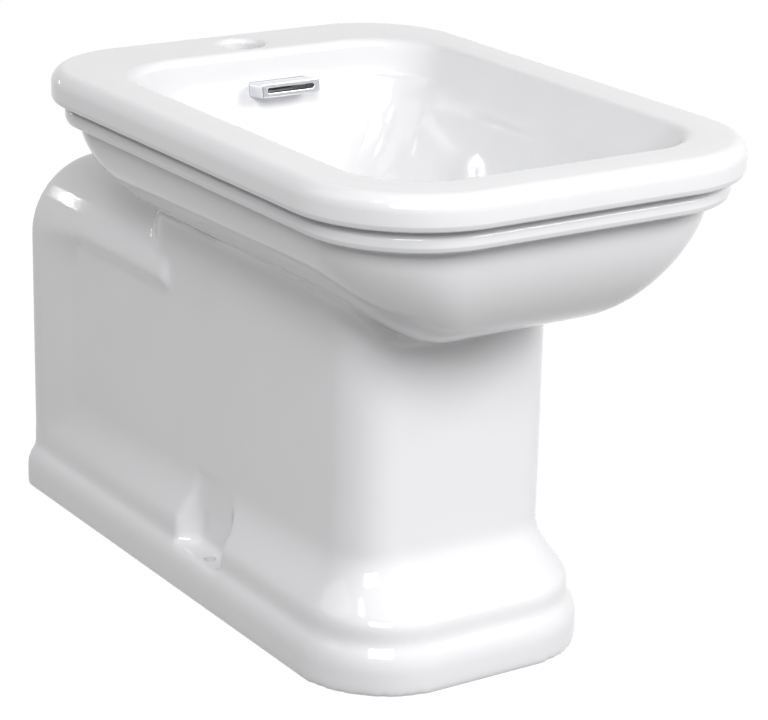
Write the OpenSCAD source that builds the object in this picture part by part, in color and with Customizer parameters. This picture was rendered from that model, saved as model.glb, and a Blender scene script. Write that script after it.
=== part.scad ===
// Back-to-wall bidet in glazed ceramic, with its overflow cover and its push-to-close waste.
// Millimetres. X is the width, the front faces -Y, the wall is at +Y and the floor is at z = 0.

/* [Rim] */
// Width of the rim
rim_w = 370; // [350:1:400]
// Front edge of the rim, measured from the middle of the plan
rim_front = 325; // [315:1:350]
// Rear edge of the rim, measured from the middle of the plan
rim_rear = 200; // [195:1:215]
// Height of the rim above the floor
rim_h = 420; // [415:1:440]
// Plan radius of the rim's front corners
rim_front_r = 98; // [80:1:110]
// Plan radius of the rim's rear corners
rim_rear_r = 86; // [70:1:100]
// Height of the rim's upper band
band_h = 26; // [24:1:28]
// Radius of the rounded top edge of the band
band_r = 10; // [6:1:12]
// How far the lower moulding stands in from the band
bead_in = 10.5; // [8:0.5:13]
// Height of the lower moulding
bead_h = 15; // [14:0.5:17]
// Depth of the shadow groove between band and lower moulding
groove_in = 17; // [15:0.5:19]

/* [Bowl] */
// Height of the bowl's curve on its sides
bowl_side_drop = 76; // [68:1:80]
// Height of the bowl's curve at its front
bowl_front_drop = 98; // [88:1:102]
// How far the bowl's top edge stands in from the rim on the sides and the rear
bowl_in = 22; // [20:0.5:26]
// How far the bowl's top edge stands in from the rim at the front
bowl_front_in = 28; // [24:0.5:32]

/* [Basin] */
// Width of the deck around the basin
deck_w = 38; // [34:1:42]
// Depth of the deck behind the basin, which carries the tap hole
rear_deck = 66; // [62:1:70]
// Depth of the basin below the rim, at the outlet
basin_depth = 152; // [140:1:156]
// Radius of the basin's inner lip
lip_r = 9; // [6:0.5:11]
// Distance of the outlet behind the middle of the plan
outlet_y = 10; // [0:1:20]
// Diameter of the hole for the tap
tap_hole_d = 35; // [33:0.5:36]
// Distance of the tap hole's axis from the rim's rear edge
tap_back = 43; // [42:0.5:46]

/* [Pedestal] */
// Half width of the pedestal at its front
ped_front_half = 92.5; // [88:0.5:96]
// Half width of the side panels at the wall
ped_rear_half = 108; // [105:0.5:109]
// Front face of the pedestal, measured from the middle of the plan
ped_front = 173; // [168:1:180]
// Radius of the pedestal's front corners
ped_r = 39; // [30:1:44]
// Wall face, measured from the middle of the plan
wall_y = 325; // [322:1:335]
// Width of the raised frame along the wall
frame_w = 21; // [19:1:24]
// Width of the slope from the raised frame down to the side panel
ramp_w = 56; // [50:1:60]
// Height of the rear box
box_h = 298; // [294:1:300]
// Radius of the shoulders
shoulder_r = 66; // [56:1:70]
// Front end of the rear box, measured from the middle of the plan
box_front = 99; // [92:1:104]

/* [Plinth] */
// Half width of the plinth
plinth_half = 122; // [120:0.5:126]
// Front face of the plinth, measured from the middle of the plan
plinth_front = 217; // [212:1:222]
// Radius of the plinth's front corners
plinth_r = 78; // [66:1:84]
// Height of the lower tier's upright face
tier_h = 22; // [18:1:26]
// Height of the upper tier's top
tier_top = 52; // [50:1:56]
// How far the upper tier stands in
tier_in = 8; // [7:0.25:9]
// Diameter of the floor fixing holes
fix_d = 10; // [7:0.5:11]
// Distance between the two fixing holes
fix_gap = 214; // [212:0.5:216]
// Distance of the fixing holes behind the middle of the plan
fix_y = 20; // [14:1:26]
// Height of the flat seat around a fixing hole
fix_seat = 35; // [32:0.5:36]

/* [Walls] */
// Thickness of the ceramic
wall = 11; // [9:0.5:12]

/* [Overflow] */
// Width of the overflow cover
cover_w = 54; // [50:1:58]
// Height of the overflow cover
cover_h = 11.5; // [11:0.25:13]
// How far the cover stands out from the basin wall
cover_l = 26; // [22:0.5:28]
// Wall of the cover
cover_t = 2; // [1.5:0.25:2.5]
// Height of the slot in the cover's face
slot_h = 4; // [3:0.25:4]
// Width of metal at each end of the overflow slot
slot_in = 5.5; // [4:0.5:8]
// Corner radius of the overflow cover
cover_r = 2; // [1.5:0.1:3]
// Upward tilt of the cover, in degrees
cover_tilt = 8; // [5:0.5:10]
// Height of the overflow's axis below the rim
overflow_drop = 25; // [24:0.5:27]

/* [Waste] */
// Diameter of the pipe thread on the waste body
thread_d = 41.9; // [41:0.1:42.5]
// Length of the waste body under its flange
body_len = 96; // [92:1:104]
// Diameter of the waste flange
flange_d = 64; // [62:0.5:66]
// Diameter of the hole through the ceramic outlet
outlet_d = 46; // [45:0.5:48]
// Bore of the waste body
body_bore = 35; // [33:0.5:36]
// Diameter of the plug cap
cap_d = 61; // [58:0.5:61.5]
// Travel of the plug
plug_travel = 9; // [7:0.5:10]
// Outer diameter of the cartridge barrel
barrel_d = 15; // [14:0.5:16]
// Diameter of the plug stem
stem_d = 7; // [6:0.25:7.5]
// Wire of the cartridge spring
spring_wire = 1.0; // [0.8:0.1:1.1]
// Number of turns of the cartridge spring
spring_turns = 7; // [5:1:9]

/* [Hidden] */
$fn = 64;
fit = 0.3;          // running clearance between parts that move
eps = 0.01;
corner_steps = 8;   // facets of a rounded plan corner
glaze = "#f4f5f6";

// Steps from 0 to 1 with a soft start and end.
function soft(t) = let (u = min(max(t, 0), 1)) u * u * (3 - 2 * u);
function mix(a, b, t) = a + (b - a) * t;
function turn(v, a) = [v[0] * cos(a) - v[1] * sin(a), v[0] * sin(a) + v[1] * cos(a)];

// A ring is a rounded rectangle: half widths at the front and rear corners, front and rear y,
// front and rear corner radii, and heights at the sides, the front and the rear.
function ring_spec(wf, wr, yf, yr, rf, rr, zs, zf, zr) = [wf, wr, yf, yr, rf, rr, zs, zf, zr];
function flat_spec(w, yf, yr, rf, rr, z) = ring_spec(w, w, yf, yr, rf, rr, z, z, z);
function ring_points(s) =
    let (n = corner_steps,
         wf = s[0], wr = s[1], yf = s[2], yr = s[3], rf = s[4], rr = s[5],
         front = function(t) mix(s[6], s[7], soft(t)),
         rear = function(t) mix(s[6], s[8], soft(t)))
    concat(
        [for (i = [0:n]) let (a = -90 + 90 * i / n)
            [wf - rf + rf * cos(a), yf + rf + rf * sin(a), front(1 - i / n)]],
        [for (i = [0:n]) let (a = 90 * i / n)
            [wr - rr + rr * cos(a), yr - rr + rr * sin(a), rear(i / n)]],
        [for (i = [0:n]) let (a = 90 + 90 * i / n)
            [-wr + rr + rr * cos(a), yr - rr + rr * sin(a), rear(1 - i / n)]],
        [for (i = [0:n]) let (a = 180 + 90 * i / n)
            [-wf + rf + rf * cos(a), yf + rf + rf * sin(a), front(i / n)]]);

// A closed skin over a stack of rings that all have the same number of points.
module loft(rings) {
    n = len(rings[0]);
    m = len(rings);
    points = [for (r = rings) for (p = r) p];
    sides = [for (k = [0:m - 2]) for (i = [0:n - 1])
        let (a = k * n + i, b = k * n + (i + 1) % n, c = a + n, d = b + n)
        each [[a, c, b], [b, c, d]]];
    first = [for (i = [0:n - 1]) i];
    last = [for (i = [n - 1:-1:0]) (m - 1) * n + i];
    polyhedron(points = points, faces = concat([first], sides, [last]), convexity = 12);
}

// Outside of the pottery, from the floor up to the basin

function inset_rim(i, z) = flat_spec(rim_w / 2 - i, -rim_front + i, rim_rear - i,
    rim_front_r - i, rim_rear_r - i, z);
function plinth_ring(i, z) = flat_spec(plinth_half - i, -plinth_front + i, wall_y,
    plinth_r - i, 4, z);

ped_back = wall_y - 6;
foot_top = tier_top + 42;
box_half = plinth_half - tier_in - 0.1;   // flush with the upper tier
function pedestal_ring(z) = ring_spec(ped_front_half, ped_rear_half, -ped_front, ped_back,
    ped_r, 14, z, z, z);
function blend_spec(a, b, t, z) = [for (i = [0:8]) i < 6 ? mix(a[i], b[i], t) : z];

band_base = rim_h - band_h;
bead_top = band_base - 3;
bowl_top = bead_top - bead_h;
bowl_side_half = rim_w / 2 - bowl_in;
bowl_low_half = 88;
bowl_low_front = 182;
bowl_low_rear = 112;
bowl_low_r = 49;

// The bowl's outer curve: angle 0 is its upright top, 90 its flat underside. The side and the
// front have their own angle in each ring.
function bowl_spec(a, af) = let (
        u = 1 - pow(cos(a), 1.34), uf = 1 - pow(cos(af), 0.71),
        w = mix(bowl_side_half, bowl_low_half, u))
    ring_spec(w, w,
        -mix(rim_front - bowl_front_in, bowl_low_front, uf),
        mix(rim_rear - bowl_in, bowl_low_rear, u),
        mix(rim_front_r - bowl_in, bowl_low_r, u),
        mix(rim_rear_r - bowl_in, bowl_low_r, u),
        bowl_top - bowl_side_drop * pow(sin(a), 1.18),
        bowl_top - bowl_front_drop * pow(sin(af), 1.18),
        bowl_top - bowl_side_drop * pow(sin(a), 1.18));

cove_h = 24;        // height of the hollow curve between the pedestal and the bowl
neck_side = bowl_top - bowl_side_drop - cove_h;
neck_front = bowl_top - bowl_front_drop - cove_h + 1;
panel_top = neck_side - 26;         // top of the flat side panels, under the bowl
panel_h = panel_top - tier_top;
neck_back = 150;
neck_ring = ring_spec(ped_front_half, 101, -ped_front, neck_back, ped_r, 40,
    neck_side, neck_front, neck_side);
bowl_start = bowl_spec(64, 76);
function cove_spec(a) = [for (i = [0:8])
    mix(neck_ring[i], bowl_start[i], i < 6 ? 1 - cos(a) : sin(a))];
belly = concat([for (a = [0, 20, 40, 57, 73]) cove_spec(a)],
    [for (k = [8:-1:0]) bowl_spec(8 * k, 9.5 * k)]);

// The basin's wall on its side, front and rear, from the deck to the outlet. Each point is a
// distance in from the deck's edge and a depth below the rim.
deck_side = rim_w / 2 - deck_w;
deck_front = rim_front - deck_w;
deck_back = rim_rear - rear_deck;
floor_z = rim_h - basin_depth;
seat_r = 36;
lip = [for (a = [0:22.5:67.5]) [lip_r * sin(a), lip_r * (1 - cos(a))]];
side_wall = concat(lip, [[24, 22], [27.5, 26], [30, 31], [33, 42], [39, 58], [49, 76], [61, 92],
    [74, 106], [89, 121], [102, 136], [deck_side - seat_r, basin_depth]]);
front_wall = concat(lip, [[24, 22], [27.5, 26], [30, 30], [33, 40], [39, 58], [48, 76], [64, 95],
    [94, 112], [142, 126], [208, 139], [deck_front + outlet_y - seat_r, basin_depth]]);
rear_wall = concat(lip, [[34, 22], [38.5, 26], [41.5, 31], [44, 42], [47.5, 60], [51.5, 80], [57.5, 100],
    [65, 118], [74, 132], [82, 143], [deck_back - outlet_y - seat_r, basin_depth]]);
basin_front_r = [61, 60, 59, 58, 57, 55, 56, 58, 60, 62, 66, 70, 58, 45, seat_r];
basin_rear_r = [66, 65, 64, 63, 52, 50, 52, 55, 58, 60, 62, 62, 55, 44, seat_r];
function basin_spec(side, front, rear, k, extra = 0) = let (w = deck_side - side[k][0])
    ring_spec(w, w, -deck_front + front[k][0], deck_back - rear[k][0],
        min(basin_front_r[k] + extra, w), min(basin_rear_r[k] + extra, w),
        rim_h - side[k][1], rim_h - front[k][1], rim_h - rear[k][1]);

outer_specs = concat(
    [for (s = [[0, 0], [0, tier_h], [1.6, tier_h + 7], [4.6, tier_h + 12.5], [tier_in, tier_h + 15],
        [tier_in, tier_top]]) plinth_ring(s[0], s[1])],
    [for (s = [[0.07, 3.5], [0.24, 9], [0.47, 16], [0.69, 23.5], [0.88, 32]])
        blend_spec(plinth_ring(tier_in, 0), pedestal_ring(0), s[0], tier_top + s[1])],
    [pedestal_ring(foot_top), pedestal_ring(panel_top - 8)],
    [ring_spec(ped_front_half, 101, -ped_front, neck_back, ped_r, 40, panel_top, panel_top - 4,
        panel_top)],
    belly,
    [for (s = [[15, 0.3], [11.5, 2.4], [bead_in, 5], [bead_in, bead_h - 4], [bead_in + 1.1, bead_h - 1.3],
        [bead_in + 3.5, bead_h]]) inset_rim(s[0], bowl_top + s[1])],
    [inset_rim(groove_in, bead_top + 0.6), inset_rim(groove_in, band_base - 0.4)],
    [inset_rim(4.5, band_base), inset_rim(1.3, band_base + 1.4), inset_rim(0, band_base + 4.5)],
    [for (a = [0:22.5:90]) inset_rim(band_r * (1 - cos(a)), rim_h - band_r * (1 - sin(a)))],
    [for (k = [0:len(side_wall) - 1]) basin_spec(side_wall, front_wall, rear_wall, k)]);

module outer_skin() {
    loft([for (s = outer_specs) ring_points(s)]);
}

// Hollow inside of the pottery: the pedestal, the bowl's double wall and the space under the deck

// Moves the points of the basin's wall away from the basin by the wall thickness.
function thick(p) = [for (k = [0:len(p) - 1]) let (
        d = p[min(k + 1, len(p) - 1)] - p[max(k - 1, 0)])
    p[k] + wall * [-d[1], d[0]] / norm(d)];
side_back = thick(side_wall);
front_back = thick(front_wall);
rear_back = thick(rear_wall);

// The same for the belly, whose points rise: half width or distance from the middle, and height.
function in_from(p, k) = let (d = p[min(k + 1, len(p) - 1)] - p[max(k - 1, 0)])
    p[k] + wall * [-d[1], d[0]] / norm(d);
belly_side = [for (s = belly) [s[0], s[6]]];
belly_front = [for (s = belly) [-s[2], s[7]]];
belly_rear = [for (s = belly) [s[3], s[8]]];
function belly_core(k) = let (s = belly[k], a = in_from(belly_side, k), f = in_from(belly_front, k),
        r = in_from(belly_rear, k))
    ring_spec(a[0], k < 3 ? mix(s[1] - wall, a[0], k / 3) : a[0], -f[0], r[0],
        max(s[4] - wall, 12), max(s[5] - wall, 12), a[1], f[1], r[1]);

deck_t = 18;        // thickness of the deck round the tap hole
under_deck = rim_h - deck_t;
function hood_ring(i, drop) = flat_spec(bowl_side_half - wall - i, -rim_front + bowl_front_in + wall + i,
    rim_rear - bowl_in - wall - i, rim_front_r - bowl_in - wall - i / 2,
    rim_rear_r - bowl_in - wall - i / 2, under_deck - drop);

inner_w = ped_front_half - wall;
wall_out = wall_y + 20;
function low_core(w, front, r, z) = flat_spec(w, front, wall_out, r, 8, z);
function ped_core(back, r, z) = ring_spec(inner_w, back > wall_y ? ped_rear_half - wall : 88,
    -ped_front + wall, back, ped_r - wall, r, z, z, z);

core_specs = concat(
    [low_core(94, -ped_front - 18, 54, -5), low_core(94, -ped_front - 18, 54, 12),
     low_core(87, -ped_front + 2, 44, 30)],
    [ped_core(wall_out, 8, foot_top), ped_core(wall_out, 8, panel_top - 26),
     ped_core(neck_back - wall, 30, panel_top - 23)],
    [for (k = [0:len(belly) - 2]) belly_core(k)],
    [hood_ring(-2, 14), hood_ring(0, 4), hood_ring(5, 0)],
    [let (b = basin_spec(side_back, front_back, rear_back, 7, wall))
        flat_spec(b[0] + 14, b[2] - 15, deck_back - 3, b[4] + 8, b[5] + 12, under_deck - 0.5)],
    [let (b = basin_spec(side_back, front_back, rear_back, 7, wall))
        flat_spec(b[0] + 6.5, b[2] - 6.5, deck_back - 21, b[4] + 4, b[5] + 4, under_deck - 12)],
    [basin_spec(side_back, front_back, rear_back, 7, wall)],
    [for (k = [8:13]) basin_spec(side_back, front_back, rear_back, k, wall)],
    [flat_spec(seat_r, outlet_y - seat_r, outlet_y + seat_r, seat_r, seat_r, floor_z - wall)]);

module core() {
    loft([for (s = core_specs) ring_points(s)]);
}

// Rear box with rounded shoulders, and its side pockets

function tomb(half, top, r, y, n = 8) = concat(
    [[half, y, 30]],
    [for (i = [0:n]) let (a = 90 * i / n) [half - r + r * cos(a), y, top - r + r * sin(a)]],
    [for (i = [0:n]) let (a = 90 + 90 * i / n) [-half + r + r * cos(a), y, top - r + r * sin(a)]],
    [[-half, y, 30]]);
edge_r = 5;         // rounding of the box's rear edge
box_taper = 6;      // how much narrower the box is at its front end

module rear_box() {
    loft([for (s = [[wall_y, edge_r], [wall_y - 1.5, 1.5], [wall_y - edge_r, 0], [250, 0], [220, 0.5],
            [box_front + 3, box_taper], [box_front, box_taper + 2.5]])
        tomb(box_half - s[1], box_h - (s[0] > 250 ? s[1] : 0), shoulder_r - s[1], s[0])]);
}

pocket_rear = wall_y - frame_w;   // where the slope behind the flat panel starts
ramp_end = pocket_rear - ramp_w;
corner_r = 20;      // rounding of the frame's lower corner
module pocket() {
    // plan of the cut at a height: how deep it is and how far its rear edge moves forward
    ramp = [[0, 0.05], [0.06, 0.9], [0.2, 3], [0.45, 6], [0.75, 8.4], [1, 9.6]];
    levels = concat([[-6, 1, corner_r]],
        [for (a = [0:22.5:90]) [corner_r * (1 - cos(a)) * 0.999, 1, corner_r * (1 - sin(a))]],
        [[panel_h - 22, 1, 0], [panel_h - 8, 0.75, 0], [panel_h + 1, 0.28, 0], [panel_h + 5, 0.04, 0]]);
    loft([for (s = levels) let (z = tier_top + s[0], f = s[1], far = box_half + 20) concat(
        [[far, box_front - 20, z], [far, pocket_rear - s[2], z]],
        [for (q = ramp) [box_half - f * q[1] + 0.1, pocket_rear - s[2] * (1 - q[0]) - ramp_w * q[0], z]],
        [[box_half - f * 13, ramp_end - 1.5, z], [box_half - f * 21, box_front - 20, z]])]);
}

// Hollow under the rear box's top, open to the wall
hollow_half = 90;
hollow_front = 82;
module rear_hollow() {
    r = hollow_half - box_half + shoulder_r;
    rotate([90, 0, 0]) translate([0, 0, -wall_out]) linear_extrude(wall_out - hollow_front) {
        translate([-hollow_half, 200]) square([2 * hollow_half, box_h - wall - r - 200]);
        translate([r - hollow_half, 200]) square([2 * (hollow_half - r), box_h - wall - 200]);
        for (s = [-1, 1]) translate([s * (hollow_half - r), box_h - wall - r]) circle(r);
    }
}

// Side notch that gives access to a fixing hole
notch_front = fix_y - 26;
notch_rear = fix_y + 43;
notch_wall = 97;    // carries the panel's plane down to the seat
notch_top = 100;
module notch() {
    translate([notch_wall, notch_front, fix_seat])
        linear_extrude(notch_top - fix_seat) {
            translate([8, 0]) square([40, notch_rear - notch_front]);
            translate([0, 8]) square([20, notch_rear - notch_front - 24]);
            translate([8, 8]) circle(8);
            translate([16, notch_rear - notch_front - 16]) circle(16);
        }
}
module notch_back() {
    translate([84, notch_front - 10, 2])
        cube([notch_wall + 1 - 84, notch_rear - notch_front + 20, notch_top - 6]);
}

// Outlet collar with the overflow's ring chamber, and the duct that feeds it
collar_r = outlet_d / 2 + 18;
collar_base = floor_z - 52;
chamber_r = outlet_d / 2 + 8;
chamber_base = floor_z - 34;
chamber_h = 18;
seat_drop = 3;      // depth of the recess that takes the waste flange

// y of the basin's rear wall at a depth below the rim
function wall_at(d) = deck_back - lookup(d, [for (p = rear_wall) [p[1], p[0]]]);
overflow_z = rim_h - overflow_drop;
overflow_y = deck_back - 29;
duct_half = 25;
duct_wall = 8;
duct_gap = 13;
duct_top = overflow_y + 9;
duct_depths = [50, 66, 82, 98, 114, 130];
module along_x(half) {
    rotate([90, 0, 90]) translate([0, 0, -half]) linear_extrude(2 * half) children();
}
module duct_body() {
    back = wall + 1 + duct_gap + duct_wall;
    along_x(duct_half) polygon(concat(
        [[overflow_y + 5, under_deck + 4]],
        [for (d = duct_depths) [wall_at(d) + 3, rim_h - d]],
        [[wall_at(143) + 3, rim_h - 143], [outlet_y + 30, floor_z - 7],
         [outlet_y + 30, chamber_base - duct_wall], [wall_at(130) + back - 2, chamber_base - duct_wall],
         [wall_at(130) + back + 3, rim_h - 150]],
        [for (i = [5:-1:0]) let (d = duct_depths[i]) [wall_at(d) + back, rim_h - d]],
        [[duct_top + duct_gap + duct_wall, rim_h - 36],
         [duct_top + duct_gap + duct_wall, under_deck + 4]]));
}
module duct_hollow() {
    front = wall + 1;
    back = front + duct_gap;
    along_x(duct_half - duct_wall) polygon(concat(
        [[duct_top, overflow_z + 7], [duct_top, overflow_z - 9]],
        [for (d = duct_depths) [wall_at(d) + front, rim_h - d]],
        [[wall_at(143) + front - 2, chamber_base + chamber_h - 1],
         [outlet_y + 28, chamber_base + chamber_h - 1], [outlet_y + 28, chamber_base + 1],
         [wall_at(130) + back - 6, chamber_base + 1], [wall_at(130) + back + 3, rim_h - 146]],
        [for (i = [5:-1:0]) let (d = duct_depths[i]) [wall_at(d) + back, rim_h - d]],
        [[duct_top + duct_gap, rim_h - 36], [duct_top + duct_gap, overflow_z + 7]]));
}

// Frame of the overflow: origin on its flat seat in the basin's wall, -y out of the wall
module at_overflow() {
    translate([0, overflow_y, overflow_z]) rotate([-cover_tilt, 0, 0]) children();
}
module stadium(w, h, y0, y1) {
    rotate([90, 0, 0]) translate([0, 0, -y1]) linear_extrude(y1 - y0) {
        square([w - h, h], center = true);
        for (s = [-1, 1]) translate([s * (w - h) / 2, 0]) circle(d = h);
    }
}
module slab(w, h, y0, y1, r) {
    rotate([90, 0, 0]) translate([0, 0, -y1]) linear_extrude(y1 - y0) {
        square([w - 2 * r, h], center = true);
        square([w, h - 2 * r], center = true);
        for (x = [-1, 1], z = [-1, 1]) translate([x * (w / 2 - r), z * (h / 2 - r)]) circle(r, $fn = 24);
    }
}
hole_w = 30;
hole_h = cover_h - 3;

tap_y = rim_rear - tap_back;
tap_lip = 4.5;
tap_nut_r = tap_hole_d / 2 + 3;   // seat of the tap's nut under the deck
module tap_cut() {
    translate([0, tap_y, under_deck - 8]) cylinder(d = tap_hole_d, h = deck_t + 20);
    translate([0, tap_y, under_deck - 18]) cylinder(r = tap_nut_r, h = 18);
    translate([0, tap_y, rim_h]) rotate_extrude() difference() {
        translate([tap_hole_d / 2 - 1, -tap_lip]) square([tap_lip + 1, tap_lip + 5]);
        translate([tap_hole_d / 2 + tap_lip, -tap_lip]) circle(tap_lip);
    }
}

module pottery() {
    difference() {
        union() {
            outer_skin();
            difference() {
                rear_box();
                pocket();
                mirror([1, 0, 0]) pocket();
            }
        }
        core();
        rear_hollow();
    }
    notch_back();
    mirror([1, 0, 0]) notch_back();
    translate([0, outlet_y, collar_base]) cylinder(r = collar_r, h = floor_z - collar_base - 6);
    duct_body();
}
module ceramic_body() {
    color(glaze) difference() {
        pottery();
        notch();
        mirror([1, 0, 0]) notch();
        for (s = [-1, 1]) translate([s * fix_gap / 2, fix_y, -1]) cylinder(d = fix_d, h = fix_seat + 2);
        translate([0, outlet_y, collar_base - 1]) cylinder(d = outlet_d, h = basin_depth);
        translate([0, outlet_y, floor_z - seat_drop]) cylinder(d = flange_d + 4, h = 20);
        translate([0, outlet_y, chamber_base]) cylinder(r = chamber_r, h = chamber_h);
        duct_hollow();
        at_overflow() stadium(hole_w, hole_h, -2, 16);
        at_overflow() slab(cover_w + 1, cover_h + 1, -40, 0, cover_r + 0.5);
        tap_cut();
    }
}

// Overflow parts

seal_t = 1.5;
cavity_r = 1;       // corner radius of the room inside the cover
module overflow_cover() {
    color("silver") at_overflow() difference() {
        slab(cover_w, cover_h, -cover_l - seal_t, -seal_t, cover_r);
        slab(cover_w - 2 * cover_t, cover_h - 2 * cover_t, -cover_l - seal_t + cover_t, 1, cavity_r);
        stadium(cover_w - 2 * slot_in, slot_h, -cover_l - seal_t - 1, -cover_l + cover_t);
    }
}
module overflow_insert() {
    socket_w = cover_w - 2 * cover_t - 2 * fit;
    socket_h = cover_h - 2 * cover_t - 2 * fit;
    color("gainsboro") at_overflow() difference() {
        union() {
            stadium(hole_w - 2 * play, hole_h - 2 * play, play - seal_t, 12);
            stadium(hole_w - 2 * play, socket_h, -4, 1);
            slab(socket_w, socket_h, -9, -seal_t, cavity_r);
        }
        stadium(hole_w - 4, slot_h, -10, 13);
    }
}
module overflow_seal() {
    color("dimgray") at_overflow() difference() {
        slab(cover_w, cover_h, -seal_t, 0, cover_r);
        stadium(hole_w, hole_h, -seal_t - 1, 1);
    }
}

// Waste, from the flange down. Heights are above the floor.

play = 0.1;         // clearance between parts that are assembled and stay
seat_z = floor_z - seat_drop;
flange_z = seat_z + seal_t;
flange_t = 2.5;
flange_top = flange_z + flange_t;
body_base = flange_z - body_len;
spider_z = flange_z - 46;
spider_h = 6;
hub_r = barrel_d / 2 + 3;
window_z = chamber_base + 4;
dish_d = flange_d - 16;
tail_h = 19;        // free end that takes the trap, up to the thread's run-out groove

module at_outlet(z) {
    translate([0, outlet_y, z]) children();
}
module waste_body() {
    t = thread_d / 2;
    f = flange_d / 2;
    color("silver") difference() {
        union() {
            difference() {
                at_outlet(flange_z) rotate_extrude() polygon([[body_bore / 2, -body_len], [t - 1, -body_len],
                    [t, 1 - body_len], [t, tail_h - body_len], [t - 1, tail_h + 0.6 - body_len],
                    [t - 1, tail_h + 2.6 - body_len], [t, tail_h + 3.2 - body_len], [t, 0], [f - 1.5, 0],
                    [f, 1], [f - 0.6, 2], [f - 2.5, flange_t], [dish_d / 2, flange_t], [body_bore / 2, 0.4]]);
                for (a = [45:90:315]) at_outlet(window_z) rotate(a) translate([body_bore / 2 - 3, -6, 0])
                    cube([8, 12, 10]);
            }
            at_outlet(spider_z) {
                cylinder(r = hub_r, h = spider_h);
                for (a = [30:120:270]) rotate(a) translate([barrel_d / 2 + 1, -1.5, 0.5])
                    cube([body_bore / 2 - barrel_d / 2, 3, spider_h - 1]);
            }
        }
        at_outlet(spider_z - 1) cylinder(d = barrel_d + 2 * play, h = spider_h + 2);
    }
}
module waste_flange_seal() {
    color("dimgray") at_outlet(seat_z) difference() {
        cylinder(d = flange_d - 2, h = seal_t);
        translate([0, 0, -1]) cylinder(d = thread_d + 2 * play, h = seal_t + 2);
    }
}
gasket_h = 9;
gasket_z = collar_base - gasket_h;
module outlet_gasket() {
    color("dimgray") at_outlet(gasket_z) difference() {
        rotate_extrude() polygon([[0, 0], [thread_d / 2 + 9, 0], [thread_d / 2 + 11, 3],
            [thread_d / 2 + 11, gasket_h], [outlet_d / 2 - 0.3, gasket_h], [thread_d / 2 + 0.9, gasket_h + 6],
            [0, gasket_h + 6]]);
        translate([0, 0, -1]) cylinder(d = thread_d + 2 * play, h = gasket_h + 8);
    }
}
washer_t = 2;
washer_z = gasket_z - washer_t;
module slip_washer() {
    color("white") at_outlet(washer_z) difference() {
        cylinder(d = thread_d + 20, h = washer_t);
        translate([0, 0, -1]) cylinder(d = thread_d + 2 * play, h = washer_t + 2);
    }
}
nut_h = 12;
module back_nut() {
    color("silver") at_outlet(washer_z - nut_h) difference() {
        intersection() {
            cylinder(d = thread_d + 19, h = nut_h, $fn = 8);
            rotate_extrude() polygon([[0, 0], [thread_d / 2 + 7, 0], [thread_d / 2 + 9.5, 2],
                [thread_d / 2 + 9.5, nut_h], [0, nut_h]]);
        }
        translate([0, 0, -1]) cylinder(d = thread_d + 2 * play, h = nut_h + 2);
    }
}

// Cartridge: a barrel that stands in the spider, with the spring under the stem's piston

barrel_wall = 2;
barrel_bore = barrel_d - 2 * barrel_wall;
barrel_floor = 3;
barrel_base = spider_z - 9;
barrel_h = 42;
barrel_top = barrel_base + barrel_h;
spring_z = barrel_base + barrel_floor;
cap_t = 3;
module cartridge_barrel() {
    color("whitesmoke") at_outlet(barrel_base) difference() {
        union() {
            cylinder(d = barrel_d, h = barrel_h);
            translate([0, 0, spider_z - barrel_base + spider_h]) cylinder(d = barrel_d + 4, h = 2.5);
        }
        translate([0, 0, barrel_floor]) cylinder(d = barrel_bore, h = barrel_h);
        translate([0, 0, -1]) cylinder(d = 3.5, h = barrel_h);
    }
}
module cartridge_cap() {
    color("whitesmoke") at_outlet(barrel_top) difference() {
        union() {
            cylinder(d = barrel_d + 1, h = cap_t);
            translate([0, 0, -3]) cylinder(d = barrel_bore - 2 * play, h = 3.5);
        }
        translate([0, 0, -4]) cylinder(d = stem_d + 2 * fit, h = cap_t + 6);
    }
}

plug_seal_t = 1;
plug_z = flange_top + fit + plug_seal_t;
piston_h = 4;
piston_top = barrel_top - 3 - fit - plug_travel;
module plug_stem() {
    color("goldenrod") at_outlet(piston_top - piston_h) {
        cylinder(d = barrel_bore - 2 * fit, h = piston_h);
        cylinder(d = stem_d, h = plug_z - piston_top + piston_h);
    }
}
spring_h = piston_top - piston_h - spring_z;
spring_r = (barrel_bore - 2 * fit - spring_wire) / 2;
spring_rings = 10;

// One open helix of round wire whose ends lie flat on the barrel's floor and under the piston.
function coil_at(t) = let (lead = 0.5, n = spring_turns, rise = spring_h - spring_wire,
        q = min(max((t - lead) / (n - 2 * lead), 0), 1))
    [spring_r * cos(360 * t), spring_r * sin(360 * t), spring_wire / 2 + rise * q];
coil_path = [for (i = [0:spring_turns * spring_rings]) coil_at(i / spring_rings)];
coil_gap = min([for (i = [0:len(coil_path) - 1]) each
    [for (j = [i + spring_rings - 3:min(i + spring_rings + 3, len(coil_path) - 1)])
        norm(coil_path[i] - coil_path[j])]]) - spring_wire;
module cartridge_spring() {
    echo(str("least gap between the spring's turns: ", coil_gap, " mm"));
    sides = 6;
    n = len(coil_path);
    points = [for (i = [0:n - 1]) let (
            a = coil_path[max(i - 1, 0)], b = coil_path[min(i + 1, n - 1)],
            d = (b - a) / norm(b - a), u = [cos(36 * i), sin(36 * i), 0],
            v = cross(d, u), w = v / norm(v))
        for (k = [0:sides - 1]) coil_path[i]
            + spring_wire / 2 * (u * cos(360 * k / sides) + w * sin(360 * k / sides))];
    color("gray") at_outlet(spring_z) polyhedron(points = points, faces = concat(
        [[for (k = [sides - 1:-1:0]) k]],
        [for (i = [0:n - 2]) for (k = [0:sides - 1]) let (a = i * sides + k,
            b = i * sides + (k + 1) % sides) each [[a, b, b + sides], [a, b + sides, a + sides]]],
        [[for (k = [0:sides - 1]) (n - 1) * sides + k]]));
}
nut_t = 2.5;
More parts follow.
